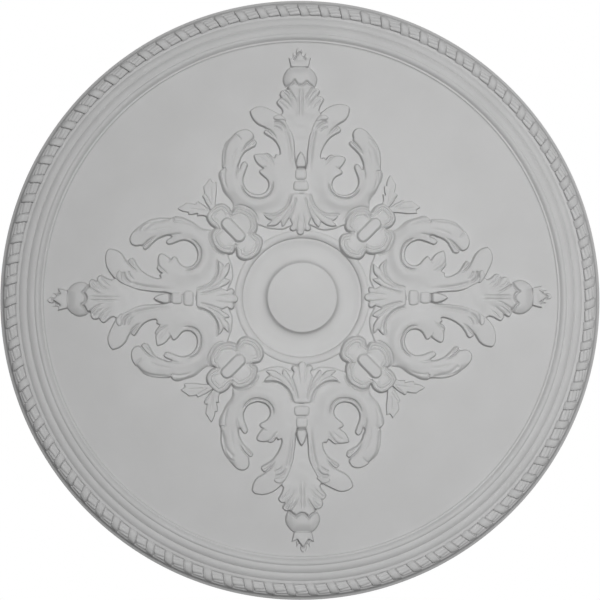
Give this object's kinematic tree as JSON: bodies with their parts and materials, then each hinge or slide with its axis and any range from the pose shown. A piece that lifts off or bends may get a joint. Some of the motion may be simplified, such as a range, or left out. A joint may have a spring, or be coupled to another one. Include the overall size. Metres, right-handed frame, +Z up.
{
  "type": "ceiling rose",
  "caption": "Round moulded ceiling rose with a ribbon-bound rim, stepped mouldings, scrolled leaf arms, rosettes and a flat central seat for a light.",
  "frame": {"origin": "centre of the flat back, where it meets the ceiling", "axes": "+Z up into the ceiling, along the rose's axis; the carving faces -Z, and the four arms lie along X and Y"},
  "size_m": [1.3778, 1.378, 0.032],
  "materials": {
    "moulded_body": "matte factory primer, pale grey white, on moulded rigid foam"
  },
  "bodies": {
    "root": {"ceiling_rose": "moulded_body"}
  },
  "joints": []
}
